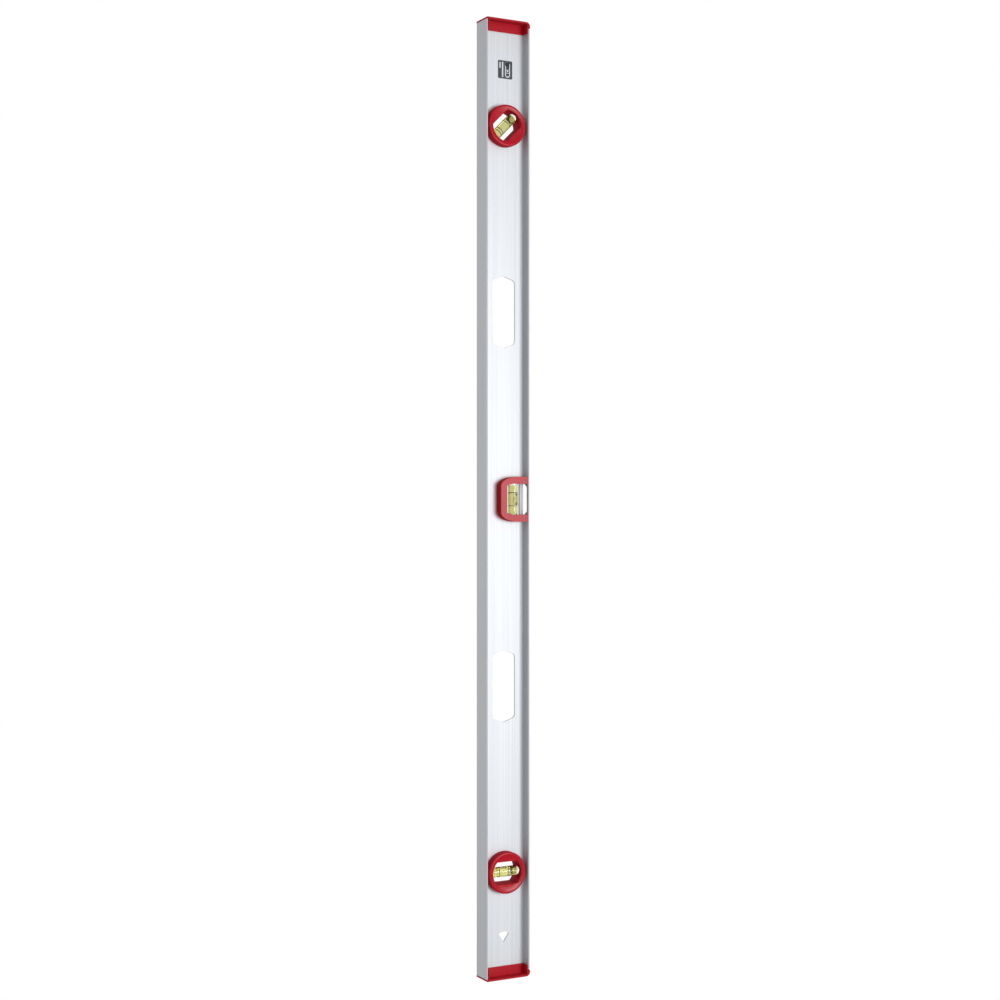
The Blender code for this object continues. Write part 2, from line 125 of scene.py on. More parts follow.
def rounded(corners, steps=8):
    """The points of an outline through (x, y, radius) corners, with an arc at each radius."""
    points = []
    for index, (x, y, radius) in enumerate(corners):
        corner = Vector((x, y))
        if radius == 0:
            points.append(corner)
            continue
        back = (Vector(corners[index - 1][:2]) - corner).normalized()
        onward = (Vector(corners[(index + 1) % len(corners)][:2]) - corner).normalized()
        half = back.angle(onward) / 2
        middle = corner + (back + onward).normalized() * radius / sin(half)
        first = corner + back * radius / tan(half) - middle
        last = corner + onward * radius / tan(half) - middle
        sweep = pi - 2 * half
        for step in range(steps + 1):
            part = sweep * step / steps
            points.append(middle + (first * sin(sweep - part) + last * sin(part)) / sin(sweep))
    return points


def prism(name, outline, bottom, top, lay=Matrix()):
    """An object from an outline in XY, raised along Z and then laid in place by a matrix."""
    shape = bmesh.new()
    points = [shape.verts.new((x, y, bottom)) for x, y in outline]
    edges = [shape.edges.new(pair) for pair in zip(points, points[1:] + points[:1])]
    base = bmesh.ops.edgeloop_fill(shape, edges=edges)["faces"]
    raised = bmesh.ops.extrude_face_region(shape, geom=base)["geom"]
    corners = [part for part in raised if isinstance(part, bmesh.types.BMVert)]
    bmesh.ops.translate(shape, verts=corners, vec=(0, 0, top - bottom))
    bmesh.ops.recalc_face_normals(shape, faces=shape.faces)
    mesh = bpy.data.meshes.new(name)
    shape.to_mesh(mesh)
    shape.free()
    mesh.transform(lay)
    if lay.determinant() < 0:
        mesh.flip_normals()
    piece = bpy.data.objects.new(name, mesh)
    scene.collection.objects.link(piece)
    return piece


def work(piece, cutters=(), joined=(), edge=0.0, steps=2, sharp=50):
    """Join pieces on, cut others away, break the edges left, and keep the mesh that results."""
    for operation, tools in (("UNION", joined), ("DIFFERENCE", cutters)):
        if not tools:
            continue
        group = bpy.data.collections.new(piece.name)
        for tool in tools:
            group.objects.link(tool)
        change = piece.modifiers.new("shape", "BOOLEAN")
        change.operation = operation
        change.operand_type = "COLLECTION"
        change.collection = group
        change.solver = "EXACT"
    if edge:
        bevel = piece.modifiers.new("edges", "BEVEL")
        bevel.width = edge
        bevel.segments = steps
        bevel.limit_method = "ANGLE"
        bevel.angle_limit = radians(sharp)
    keep_shape(piece)
    piece.data.shade_smooth()
    piece.data.set_sharp_from_angle(angle=CREASE)
    level = piece.modifiers.new("level_faces", "WEIGHTED_NORMAL")
    level.keep_sharp = True
    level.weight = 100
    keep_shape(piece)
    for tool in (*joined, *cutters):
        bpy.data.objects.remove(tool)
    return piece


def keep_shape(piece):
    """Replace a piece's mesh by what its modifiers make of it."""
    seen = piece.evaluated_get(bpy.context.evaluated_depsgraph_get())
    mesh = bpy.data.meshes.new_from_object(seen)
    piece.modifiers.clear()
    piece.data = mesh


def long_hexagon(half_length, half_height, end, radius):
    """A slot with a shallow point at either end and rounded corners."""
    straight = half_length - end
    return rounded(
        [
            (half_length, 0, radius),
            (straight, half_height, radius),
            (-straight, half_height, radius),
            (-half_length, 0, radius),
            (-straight, -half_height, radius),
            (straight, -half_height, radius),
        ]
    )


# Turns that lay an outline: X and Z of the level raised towards the front, and Y and Z along X
FRONTWARD = Matrix.Rotation(pi / 2, 4, "X")
LENGTHWAYS = Matrix.Rotation(pi / 2, 4, "Z") @ Matrix.Rotation(pi / 2, 4, "X")


def web_hole(outline, place):
    """A cutter through the web, with its middle at an X and a Z."""
    lay = Matrix.Translation((place[0], 0, place[1])) @ FRONTWARD
    return prism("hole", outline, -PAST, PAST, lay)


def centre_of(node):
    """The middle of a node's box."""
    low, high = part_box(node)
    return (Vector(low) + Vector(high)) / 2


half_web = WEB / 2
profile_right = [
    (half_width, 0, TIP_OUTSIDE),
    (half_width, FLANGE, TIP_INSIDE),
    (half_web, FLANGE, ROOT_FILLET),
    (half_web, height - FLANGE, ROOT_FILLET),
    (half_width, height - FLANGE, TIP_INSIDE),
    (half_width, height, TIP_OUTSIDE),
]
profile_left = [(-y, z, radius) for y, z, radius in reversed(profile_right)]
beam = prism(
    "aluminium_beam",
    rounded(profile_right + profile_left, steps=6),
    beam_low.x,
    beam_high.x,
    LENGTHWAYS,
)
point = HANG_HOLE_LENGTH / 2
start = 180 - HANG_HOLE_SPREAD
crown = arc((point, 0), [HANG_HOLE_LENGTH] * 2, start, 360 - start, 24)
crown_corners = [(*crown[0], HANG_HOLE_CORNER), *[(*spot, 0) for spot in crown[2:-2]]]
hang_hole = rounded([(point, 0, 0), *crown_corners, (*crown[-1], HANG_HOLE_CORNER)])
hand_hole = long_hexagon(*HAND_HOLE_HALF, HAND_HOLE_POINT, HAND_HOLE_CORNER)
vial_hole = arc((0, 0), [VIAL_HOLE_RADIUS] * 2, 0, 356.25, 95)
slot_corners = [
    (LEVEL_SLOT_HALF, height - LEVEL_SLOT_BOTTOM),
    (LEVEL_SLOT_HALF, height - LEVEL_SLOT_TOP),
    (-LEVEL_SLOT_HALF, height - LEVEL_SLOT_TOP),
    (-LEVEL_SLOT_HALF, height - LEVEL_SLOT_BOTTOM),
]
beam_cutters = [
    web_hole(hang_hole, (HANG_HOLE_PLACE, height / 2)),
    web_hole(rounded([(x, z, ROOT_FILLET) for x, z in slot_corners]), (0, 0)),
    web_hole(hand_hole, (-HAND_HOLE_PLACE, height / 2)),
    web_hole(hand_hole, (HAND_HOLE_PLACE, height / 2)),
    prism(
        "reading_window",
        long_hexagon(READING_HALF, half_width - READING_RAIL, READING_POINT, READING_CORNER),
        height - FLANGE - READING_DEPTH,
        height + PAST,
    ),
]
for vial_name in ("slant", "plumb"):
    middle = centre_of(f"{vial_name}_housing_front")
    beam_cutters.append(web_hole(vial_hole, (middle.x, middle.z)))
for sign in (-1, 1):
    trimmed = cad_box[1][0] - SHOULDER - GAP
    xs = sorted((sign * trimmed, sign * (trimmed + 2 * SHOULDER)))
    trim = [(x, y) for x, y in zip((*xs, *xs[::-1]), [-TRIM_REACH] * 2 + [TRIM_REACH] * 2)]
    beam_cutters.append(prism("trim", trim, height - FLANGE - GAP, height + PAST))
work(beam, beam_cutters, edge=DEBURR, steps=2)


def linear(hex_colour):
    """An sRGB hex colour as linear red, green, blue and alpha."""
    channels = [int(hex_colour[index : index + 2], 16) / 255 for index in (1, 3, 5)]
    return (*[c / 12.92 if c <= 0.04045 else ((c + 0.055) / 1.055) ** 2.4 for c in channels], 1)


def new_material(name):
    """An empty material with only its output."""
    material = bpy.data.materials.new(name)
    material.use_nodes = True
    material.node_tree.nodes.clear()
    return material


def add_node(owner, kind, inputs=(), **settings):
    """Add a node to a material or a world; an input takes a value or another node's output."""
    node = owner.node_tree.nodes.new("ShaderNode" + kind)
    for name, value in settings.items():
        setattr(node, name, value)
    for name, value in dict(inputs).items():
        if isinstance(value, bpy.types.NodeSocket):
            owner.node_tree.links.new(value, node.inputs[name])
        else:
            node.inputs[name].default_value = value
    return node


def put_on(piece, material, body, *nodes, slot=None):
    """Give a piece its material, its body, and the nodes of the frame that it stands for."""
    piece.data.materials.clear()
    piece.data.materials.append(material)
    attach(piece, body)
    if nodes:
        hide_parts(*nodes)
    return piece


# Anodised aluminium: a satin grey metal. The die leaves faint lines along the extrusion, and the
# etching before anodising leaves a fine, even grain that blurs what the metal mirrors.
DIE_LINE = 1.6 * MM  # real lines are about 0.2 mm apart; drawn coarser so that they show
DIE_LINE_LENGTH = 400 * MM
ETCH_GRAIN = 1.2 * MM  # real grain is about 0.05 mm; drawn coarser so that it shows
anodised = new_material("anodised_aluminium")
place = add_node(anodised, "TexCoord")
stretched = add_node(
    anodised,
    "Mapping",
    {"Vector": place.outputs["Object"], "Scale": (1 / DIE_LINE_LENGTH, 1 / DIE_LINE, 1 / DIE_LINE)},
)
die_lines = add_node(
    anodised,
    "TexNoise",
    {"Vector": stretched.outputs[0], "Scale": 1, "Detail": 3, "Roughness": 0.6},
)
grain = add_node(
    anodised,
    "TexNoise",
    {"Vector": place.outputs["Object"], "Scale": 1 / ETCH_GRAIN, "Detail": 2},
)
tone = add_node(anodised, "ValToRGB", {"Fac": die_lines.outputs["Fac"]})
tone.color_ramp.elements[0].position = 0.3
tone.color_ramp.elements[0].color = linear("#CDD0D4")
tone.color_ramp.elements[1].position = 0.7
tone.color_ramp.elements[1].color = linear("#DADCDF")
satin = add_node(
    anodised,
    "MapRange",
    {
        "Value": grain.outputs["Fac"],
        "From Min": 0.3,
        "From Max": 0.7,
        "To Min": 0.56,
        "To Max": 0.64,
    },
)
relief = add_node(
    anodised,
    "Bump",
    {"Height": die_lines.outputs["Fac"], "Strength": 0.25, "Distance": 0.02 * MM},
)
metal = add_node(
    anodised,
    "BsdfPrincipled",
    {
        "Base Color": tone.outputs["Color"],
        "Metallic": 1.0,
        "Roughness": satin.outputs["Result"],
        "Normal": relief.outputs["Normal"],
    },
)
add_node(anodised, "OutputMaterial", {"Surface": metal.outputs[0]})
put_on(beam, anodised, "level", "beam", slot="beam")


# Printed mark
# A small symbol of a vial in a frame, printed on the web in dark grey ink beside the slanted
# vial. The ink lies on the anodised face as a very thin layer.
MARK_PLACE = Vector((-540 * MM, 32.8 * MM))
MARK_HALF = (11.4 * MM, 10.2 * MM)  # half of its length and of its height
MARK_CORNER = 1.6 * MM
INK = 0.06 * MM  # thickness, drawn thicker than real ink so that it stays clear of the web
VIAL_ROW = 3.4 * MM  # height of the drawn vial above the middle of the mark
LINE_HALF = 1 * MM  # half of the height of a bare line under it


def oblong(half_length, half_height, radius, middle=(0, 0)):
    """Ink in the outline of a rectangle with rounded corners."""
    signs = ((1, 1), (-1, 1), (-1, -1), (1, -1))
    outline = rounded(
        [(middle[0] + a * half_length, middle[1] + b * half_height, radius) for a, b in signs]
    )
    lay = Matrix.Translation((MARK_PLACE.x, 0, MARK_PLACE.y)) @ FRONTWARD
    return prism("ink", outline, half_web - INK, half_web + INK, lay)


mark = oblong(*MARK_HALF, MARK_CORNER)
mark.name = "printed_mark"
work(
    mark,
    cutters=[
        oblong(9.6 * MM, 3.6 * MM, 3.4 * MM, (0, VIAL_ROW)),
        oblong(9.6 * MM, LINE_HALF, 0.6 * MM, (0, -3.6 * MM)),
        oblong(4 * MM, LINE_HALF, 0.6 * MM, (-5.6 * MM, -7.4 * MM)),
    ],
)
symbol = oblong(8.2 * MM, 2.4 * MM, 2.2 * MM, (0, VIAL_ROW))
symbol.name = "printed_vial"
work(
    symbol,
    cutters=[
        oblong(2.6 * MM, 1.3 * MM, 1.2 * MM, (0, VIAL_ROW)),
        oblong(0.4 * MM, 3 * MM, 0.2 * MM, (4 * MM, VIAL_ROW)),
        oblong(0.4 * MM, 3 * MM, 0.2 * MM, (-4 * MM, VIAL_ROW)),
    ],
)

# Pad printing ink: dark and slightly uneven, so that the grain of the metal shows through.
BLOTCH = 1.5 * MM
printing_ink = new_material("pad_printing_ink")
place = add_node(printing_ink, "TexCoord")
blotches = add_node(
    printing_ink,
    "TexNoise",
    {"Vector": place.outputs["Object"], "Scale": 1 / BLOTCH, "Detail": 3},
)
tone = add_node(printing_ink, "ValToRGB", {"Fac": blotches.outputs["Fac"]})
tone.color_ramp.elements[0].position = 0.35
tone.color_ramp.elements[0].color = linear("#33373C")
tone.color_ramp.elements[1].position = 0.75
tone.color_ramp.elements[1].color = linear("#4A4F55")
coat = add_node(
    printing_ink,
    "BsdfPrincipled",
    {"Base Color": tone.outputs["Color"], "Roughness": 0.55, "IOR": 1.5},
)
add_node(printing_ink, "OutputMaterial", {"Surface": coat.outputs[0]})
for piece in (mark, symbol):
    put_on(piece, printing_ink, "level")


# End caps
# Red ABS, injection moulded. A plate covers the sawn end, its shoulder takes the place of the
# trimmed top flange, and two thin linings slide in beside the web and hold by friction.
CAP_DEPTH = 13.8 * MM  # from the end of the level to the end of the linings
CAP_PLATE = 2.2 * MM
CAP_LINING = 1.2 * MM
CAP_CORNER = 5.5 * MM  # radius of its upper corner
CAP_FOOT = 0.5 * MM  # radius of its lower corner
CAP_EDGE = 0.45 * MM
cap_low, cap_high = (Vector(corner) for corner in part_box("end_cap_right"))
inside_top = height - FLANGE - GAP
plate_inside = cap_high.x - CAP_PLATE
shoulder_start = cap_high.x - SHOULDER
cap_outline = rounded(
    [
        (plate_inside, cap_low.z, 0),
        (cap_high.x, cap_low.z, CAP_FOOT),
        (cap_high.x, cap_high.z, CAP_CORNER),
        (shoulder_start, cap_high.z, 0),
        (shoulder_start, inside_top, 0),
        (plate_inside, inside_top, 0),
    ],
    steps=10,
)


def block(low, high):
    """A box between two opposite corners, raised from its outline."""
    corners = [(low[0], low[1]), (high[0], low[1]), (high[0], high[1]), (low[0], high[1])]
    return prism("block", corners, low[2], high[2])


def end_cap(name):
    """One cap at the right end, before it is turned to its own end."""
    cap = prism(name, cap_outline, cap_low.y, cap_high.y, FRONTWARD)
    linings = []
    rooms = []
    for sign in (-1, 1):
        ys = sorted((sign * (half_web + GAP), sign * half_width))
        low = (cap_high.x - CAP_DEPTH, ys[0], FLANGE + GAP)
        high = (cap_high.x - CAP_PLATE / 2, ys[1], inside_top)
        linings.append(block(low, high))
        ys = sorted((sign * (half_web + GAP + CAP_LINING), sign * 2 * half_width))
        low = (cap_high.x - CAP_DEPTH - PAST, ys[0], FLANGE + GAP + CAP_LINING)
        high = (plate_inside, ys[1], inside_top - CAP_LINING)
        rooms.append(block(low, high))
    return work(cap, rooms, linings, edge=CAP_EDGE, steps=3)


# ABS: an opaque bright red plastic. The mould is spark eroded, which gives it a fine grain. Its
# faces come out with a soft gloss; its walls scrape along the mould as it opens and stay matt.
# The pigment varies a little where the melt has flowed.
MOULD_GRAIN = 0.9 * MM  # real grain is about 0.1 mm; drawn coarser so that it shows
FLOW_MARK = 14 * MM
MATT_WALL = 0.5  # how much rougher a wall is than a face
GRAIN_ROUGHNESS = 0.04  # how far the grain moves the roughness up and down


def moulded_abs(name, light, dark, gloss):
    """Red ABS between two tones, with the roughness of its faces."""
    material = new_material(name)
    place = add_node(material, "TexCoord")
    flow = add_node(
        material,
        "TexNoise",
        {"Vector": place.outputs["Object"], "Scale": 1 / FLOW_MARK, "Detail": 4},
    )
    grain = add_node(
        material, "TexNoise", {"Vector": place.outputs["Object"], "Scale": 1 / MOULD_GRAIN}
    )
    tone = add_node(material, "ValToRGB", {"Fac": flow.outputs["Fac"]})
    tone.color_ramp.elements[0].position = 0.3
    tone.color_ramp.elements[0].color = linear(dark)
    tone.color_ramp.elements[1].position = 0.7
    tone.color_ramp.elements[1].color = linear(light)
    sheen = add_node(
        material,
        "MapRange",
        {
            "Value": grain.outputs["Fac"],
            "From Min": 0.3,
            "From Max": 0.7,
            "To Min": gloss - GRAIN_ROUGHNESS,
            "To Max": gloss + GRAIN_ROUGHNESS,
        },
    )
    surface = add_node(material, "NewGeometry")
    facing = add_node(material, "SeparateXYZ", {"Vector": surface.outputs["Normal"]})
    face_on = add_node(material, "Math", {0: facing.outputs["Y"]}, operation="ABSOLUTE")
    wall = add_node(
        material,
        "MapRange",
        {"Value": face_on.outputs[0], "From Min": 0.3, "From Max": 0.6, "To Min": 1, "To Max": 0},
    )
    roughness = add_node(
        material,
        "Math",
        {0: wall.outputs["Result"], 1: MATT_WALL, 2: sheen.outputs["Result"]},
        operation="MULTIPLY_ADD",
    )
    relief = add_node(
        material,
        "Bump",
        {"Height": grain.outputs["Fac"], "Strength": 0.2, "Distance": 0.015 * MM},
    )
    plastic = add_node(
        material,
        "BsdfPrincipled",
        {
            "Base Color": tone.outputs["Color"],
            "Roughness": roughness.outputs[0],
            "IOR": 1.53,
            "Specular IOR Level": 0.26,
            "Normal": relief.outputs["Normal"],
        },
    )
    add_node(material, "OutputMaterial", {"Surface": plastic.outputs[0]})
    return material


cap_abs = moulded_abs("moulded_abs_end_cap", "#BA001D", "#B0001A", 0.36)
for end, facing in (("right", 0), ("left", pi)):
    cap = end_cap(f"abs_end_cap_{end}")
    cap.data.transform(Matrix.Rotation(facing, 4, "Z"))
    put_on(cap, cap_abs, "level", f"end_cap_{end}", slot="end_cap")


# Round housings of the slanted and the plumb vial
# Two red ABS discs for each vial, one on either side of the web, joined through the round hole.
# Each has a raised rim, a window over the vial, and a seat in which the vial lies.
ROUND_RADIUS = 26.2 * MM
ROUND_FACE = 11.6 * MM  # from the middle of the web to the rim
RIM_WIDTH = 4.2 * MM
RIM_RAISED = 0.9 * MM
RIM_EDGE = 2 * MM  # radius of its outer edge
SPIGOT_RADIUS = 23 * MM
WINDOW_RADIUS = 20 * MM
WINDOW_HALF_WIDTH = 14.2 * MM
APERTURE_HALF_LENGTH = 17.3 * MM
APERTURE_CORNER = (3.3 * MM, 4.7 * MM)  # cut off it along and across the vial
SOCKET_TOP = 3 * MM  # from the middle of the web to the top of what holds the vial's ends
ROUND_SOFTENING = 0.35 * MM
SEAT_RADIUS = 6.65 * MM
SEAT_HALF_LENGTH = 22.3 * MM
SLANT = radians(225)
UPRIGHT = radians(-90)
TURNED_CREASE = radians(32)


def turned(name, profile, steps=96, closed=False):
    """A piece turned about Z from a profile of (radius, height) points."""
    shape = bmesh.new()
    points = [shape.verts.new((radius, 0, level)) for radius, level in profile]
    pairs = list(zip(points, points[1:]))
    if closed:
        pairs.append((points[-1], points[0]))
    edges = [shape.edges.new(pair) for pair in pairs]
    bmesh.ops.spin(
        shape,
        geom=[*points, *edges],
        axis=(0, 0, 1),
        cent=(0, 0, 0),
        angle=2 * pi,
        steps=steps,
        use_merge=True,
    )
    bmesh.ops.remove_doubles(shape, verts=shape.verts, dist=0.001 * MM)
    bmesh.ops.recalc_face_normals(shape, faces=shape.faces)
    mesh = bpy.data.meshes.new(name)
    shape.to_mesh(mesh)
    shape.free()
    mesh.shade_smooth()
    mesh.set_sharp_from_angle(angle=TURNED_CREASE)
    piece = bpy.data.objects.new(name, mesh)
    scene.collection.objects.link(piece)
    return piece


ALONG = Matrix.Rotation(pi / 2, 4, "Y")  # lays a turned piece along X


def seat():
    """A cutter for half of the room of a vial."""
    profile = [
        (0, -SEAT_HALF_LENGTH),
        (SEAT_RADIUS, -SEAT_HALF_LENGTH),
        (SEAT_RADIUS, SEAT_HALF_LENGTH),
        (0, SEAT_HALF_LENGTH),
    ]
    rod = turned("seat", profile, steps=64)
    rod.data.transform(ALONG)
    return rod


def round_housing(name):
    """One disc, its face up, with the vial along X."""
    rim_inside = ROUND_RADIUS - RIM_WIDTH
    dish = ROUND_FACE - RIM_RAISED
    foot = half_web + GAP
    edge_middle = (ROUND_RADIUS - RIM_EDGE, ROUND_FACE - RIM_EDGE)
    profile = [
        (0, dish),
        (rim_inside - RIM_RAISED, dish),
        (rim_inside, ROUND_FACE),
        *arc(edge_middle, [RIM_EDGE] * 2, 90, 0, 6),
        (ROUND_RADIUS, foot),
        (SPIGOT_RADIUS, foot),
        (SPIGOT_RADIUS, GAP / 2),
        (0, GAP / 2),
    ]
    disc = turned(name, profile)
    spread = degrees(asin(WINDOW_HALF_WIDTH / WINDOW_RADIUS))
    window = [
        *arc((0, 0), [WINDOW_RADIUS] * 2, -spread, spread, 24),
        *arc((0, 0), [WINDOW_RADIUS] * 2, 180 - spread, 180 + spread, 24),
    ]
    length, width = APERTURE_HALF_LENGTH, WINDOW_HALF_WIDTH
    quarter = [(length, width - APERTURE_CORNER[1]), (length - APERTURE_CORNER[0], width)]
    upper = [*quarter, *((-x, y) for x, y in reversed(quarter))]
    aperture = [Vector(point) for point in [*upper, *((-x, -y) for x, y in upper)]]
    cutters = [
        prism("window", window, SOCKET_TOP, ROUND_FACE + PAST),
        prism("aperture", aperture, -PAST, SOCKET_TOP + PAST),
        seat(),
    ]
    for cutter in cutters:
        change = disc.modifiers.new("cut", "BOOLEAN")
        change.object = cutter
        change.solver = "EXACT"
    work(disc, edge=ROUND_SOFTENING, steps=3)
    for cutter in cutters:
        bpy.data.objects.remove(cutter)
    return disc


housing_abs = moulded_abs("moulded_abs_housing", "#BA001F", "#B1001A", 0.26)
BACKWARD = Matrix.Rotation(pi, 4, "Z") @ FRONTWARD
FACINGS = {"front": FRONTWARD, "back": BACKWARD}
vial_places = {}
for vial_name, rise in (("slant", SLANT), ("plumb", UPRIGHT)):
    middle = centre_of(f"{vial_name}_housing_front")
    carrier = Matrix.Translation((middle.x, 0, middle.z)) @ Matrix.Rotation(rise, 4, "Y")
    vial_places[vial_name] = carrier
    for side, facing in FACINGS.items():
        disc = round_housing(f"abs_{vial_name}_housing_{side}")
        disc.data.transform(carrier @ facing)
        put_on(disc, housing_abs, "level", f"{vial_name}_housing_{side}", slot="housing")


# Housing of the levelling vial
# Two red ABS frames, one on either side of the web, open towards the top flange so that the vial
# is seen from above as well. The lower corners are drawn round and every edge is softened.
LEVEL_CORNER = (12 * MM, 24 * MM)  # along and up
LEVEL_WINDOW_HALF = 19.5 * MM
LEVEL_WINDOW_CORNER = (2.3 * MM, 9 * MM)  # cut off it along and up
LEVEL_WINDOW_BOTTOM = 31.9 * MM  # below the top measuring face
LEVEL_SOFTENING = 0.6 * MM
level_low, level_high = (Vector(corner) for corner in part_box("level_housing_front"))
level_axis = centre_of("level_vial_tube").z
frame_half = level_high.x
frame_top = level_high.z - level_axis
frame_bottom = level_low.z - level_axis
sill = height - LEVEL_WINDOW_BOTTOM - level_axis


def level_housing(name):
    """One frame, its face up, with the vial along X."""
    along, up = LEVEL_CORNER
    cut_along, cut_up = LEVEL_WINDOW_CORNER
    window = LEVEL_WINDOW_HALF
    outline = [
        *arc((along - frame_half, frame_bottom + up), LEVEL_CORNER, 180, 270, 20),
        *arc((frame_half - along, frame_bottom + up), LEVEL_CORNER, 270, 360, 20),
        Vector((frame_half, frame_top)),
        Vector((window, frame_top)),
        Vector((window, sill + cut_up)),
        Vector((window - cut_along, sill)),
        Vector((cut_along - window, sill)),
        Vector((-window, sill + cut_up)),
        Vector((-window, frame_top)),
        Vector((-frame_half, frame_top)),
    ]
    shell = prism(name, outline, half_web + GAP, -level_low.y)
    return work(shell, cutters=[seat()], edge=LEVEL_SOFTENING, steps=3, sharp=40)


vial_places["level"] = Matrix.Translation((0, 0, level_axis))
for side, facing in FACINGS.items():
    shell = level_housing(f"abs_level_housing_{side}")
    shell.data.transform(vial_places["level"] @ facing)
    put_on(shell, housing_abs, "level", f"level_housing_{side}", slot="housing")


# Vials
# Each is a thick acrylic tube, turned and polished, with one domed end. A plug closes the bore
# after filling with a yellow-green liquid, and an air bubble is left in it. Two black rings lie
# in grooves as reading marks.
TUBE_RADIUS = 6.35 * MM
TUBE_HALF = 22 * MM
BORE_RADIUS = 4.75 * MM
BORE_HALF = 17.7 * MM
PLUG_HEAD = 1.2 * MM
PLUG_CLEARANCE = 0.1 * MM
PLUG_EDGE = 0.4 * MM
DRILL_CORNER = 1.2 * MM  # radius at the blind end of the bore
RING_PLACE = 8.3 * MM  # from the middle of the tube
RING_HALF = 0.4 * MM  # half of its width
RING_EDGE = 0.1 * MM
RING_CLEARANCE = 0.05 * MM
GROOVE_RADIUS = 5.8 * MM
GROOVE_CLEARANCE = 0.1 * MM
BUBBLE_CLEARANCE = 0.1 * MM
mouth = PLUG_HEAD - TUBE_HALF


def tube_shape(name):
    """The tube: domed end, ring grooves, and the pocket that the plug fills."""
    groove_half = RING_HALF + GROOVE_CLEARANCE
    dome = arc((0, TUBE_HALF - TUBE_RADIUS), [TUBE_RADIUS] * 2, 90, 0, 16)
    outside = [(0, TUBE_HALF), *dome[1:]]
    for level in (RING_PLACE, -RING_PLACE):
        outside += [
            (TUBE_RADIUS, level + groove_half),
            (GROOVE_RADIUS, level + groove_half),
            (GROOVE_RADIUS, level - groove_half),
            (TUBE_RADIUS, level - groove_half),
        ]
    pocket = [
        (TUBE_RADIUS, mouth + PLUG_CLEARANCE),
        (BORE_RADIUS, mouth + PLUG_CLEARANCE),
        (BORE_RADIUS, -BORE_HALF - PLUG_CLEARANCE),
        (0, -BORE_HALF - PLUG_CLEARANCE),
    ]
    return turned(name, outside + pocket, steps=64)


def plug_shape(name):
    """The plug: a shank in the mouth of the bore under a head as wide as the tube."""
    shank = BORE_RADIUS - PLUG_CLEARANCE
    rim = arc((TUBE_RADIUS - PLUG_EDGE, PLUG_EDGE - TUBE_HALF), [PLUG_EDGE] * 2, 0, -90, 4)
    profile = [
        (0, -BORE_HALF - 2 * PLUG_CLEARANCE),
        (shank, -BORE_HALF - 2 * PLUG_CLEARANCE),
        (shank, mouth),
        (TUBE_RADIUS, mouth),
        *rim,
        (0, -TUBE_HALF),
    ]
    return turned(name, profile, steps=64)


def liquid_shape(name):
    """The liquid: it fills the bore, with the rounded corner of the drill at its blind end."""
    middle = (BORE_RADIUS - DRILL_CORNER, BORE_HALF - DRILL_CORNER)
    corner = arc(middle, [DRILL_CORNER] * 2, 90, 0, 6)
    profile = [(0, BORE_HALF), *corner, (BORE_RADIUS, -BORE_HALF), (0, -BORE_HALF)]
    return turned(name, profile, steps=64)


def ring_shape(name, level):
    """A flat black band with rounded edges, in its groove."""
    inner = GROOVE_RADIUS + RING_CLEARANCE
    outer = TUBE_RADIUS - RING_CLEARANCE
    profile = [
        (inner, level + RING_HALF),
        (outer - RING_EDGE, level + RING_HALF),
        (outer, level + RING_HALF - RING_EDGE),
        (outer, level - RING_HALF + RING_EDGE),
        (outer - RING_EDGE, level - RING_HALF),
        (inner, level - RING_HALF),
    ]
    return turned(name, profile, steps=64, closed=True)


def bubble_shape(name, size, square):
    """A bubble against the top of the bore, flatter below; square is how blunt its ends are."""
    shape = bmesh.new()
    bmesh.ops.create_uvsphere(shape, u_segments=48, v_segments=28, radius=1)
    bmesh.ops.rotate(shape, verts=shape.verts, matrix=ALONG.to_3x3())
    length, width, depth = (side / 2 for side in size)
    for vert in shape.verts:
        x, y, z = vert.co
        fuller = (1 - abs(x) ** square) ** 0.5 / max((1 - x * x) ** 0.5, 0.001)
        y, z = y * fuller * width, z * fuller
        z = z * depth if z > 0 else -depth * (1 - (1 - min(-z, 1)) ** 1.6)
        vert.co = (x * length, y, z + BORE_RADIUS - BUBBLE_CLEARANCE - depth)
    mesh = bpy.data.meshes.new(name)
    shape.to_mesh(mesh)
    shape.free()
    mesh.shade_smooth()
    piece = bpy.data.objects.new(name, mesh)
    scene.collection.objects.link(piece)
    return piece


# Acrylic: clear and glossy. Polishing leaves the surface very slightly wavy, and a thick piece
# looks a little green at its edges.
POLISHING_WAVE = 6 * MM
acrylic = new_material("polished_acrylic")
place = add_node(acrylic, "TexCoord")
waves = add_node(
    acrylic, "TexNoise", {"Vector": place.outputs["Object"], "Scale": 1 / POLISHING_WAVE}
)
ripple = add_node(
    acrylic, "Bump", {"Height": waves.outputs["Fac"], "Strength": 0.15, "Distance": 0.05 * MM}
)
tone = add_node(acrylic, "ValToRGB", {"Fac": waves.outputs["Fac"]})
tone.color_ramp.elements[0].color = linear("#F6F8F1")
tone.color_ramp.elements[1].color = linear("#FCFDFA")
clear = add_node(
    acrylic,
    "BsdfPrincipled",
    {
        "Base Color": tone.outputs["Color"],
        "Roughness": 0.02,
        "IOR": 1.49,
        "Transmission Weight": 1.0,
        "Normal": ripple.outputs["Normal"],
    },
)
add_node(acrylic, "OutputMaterial", {"Surface": clear.outputs[0]})

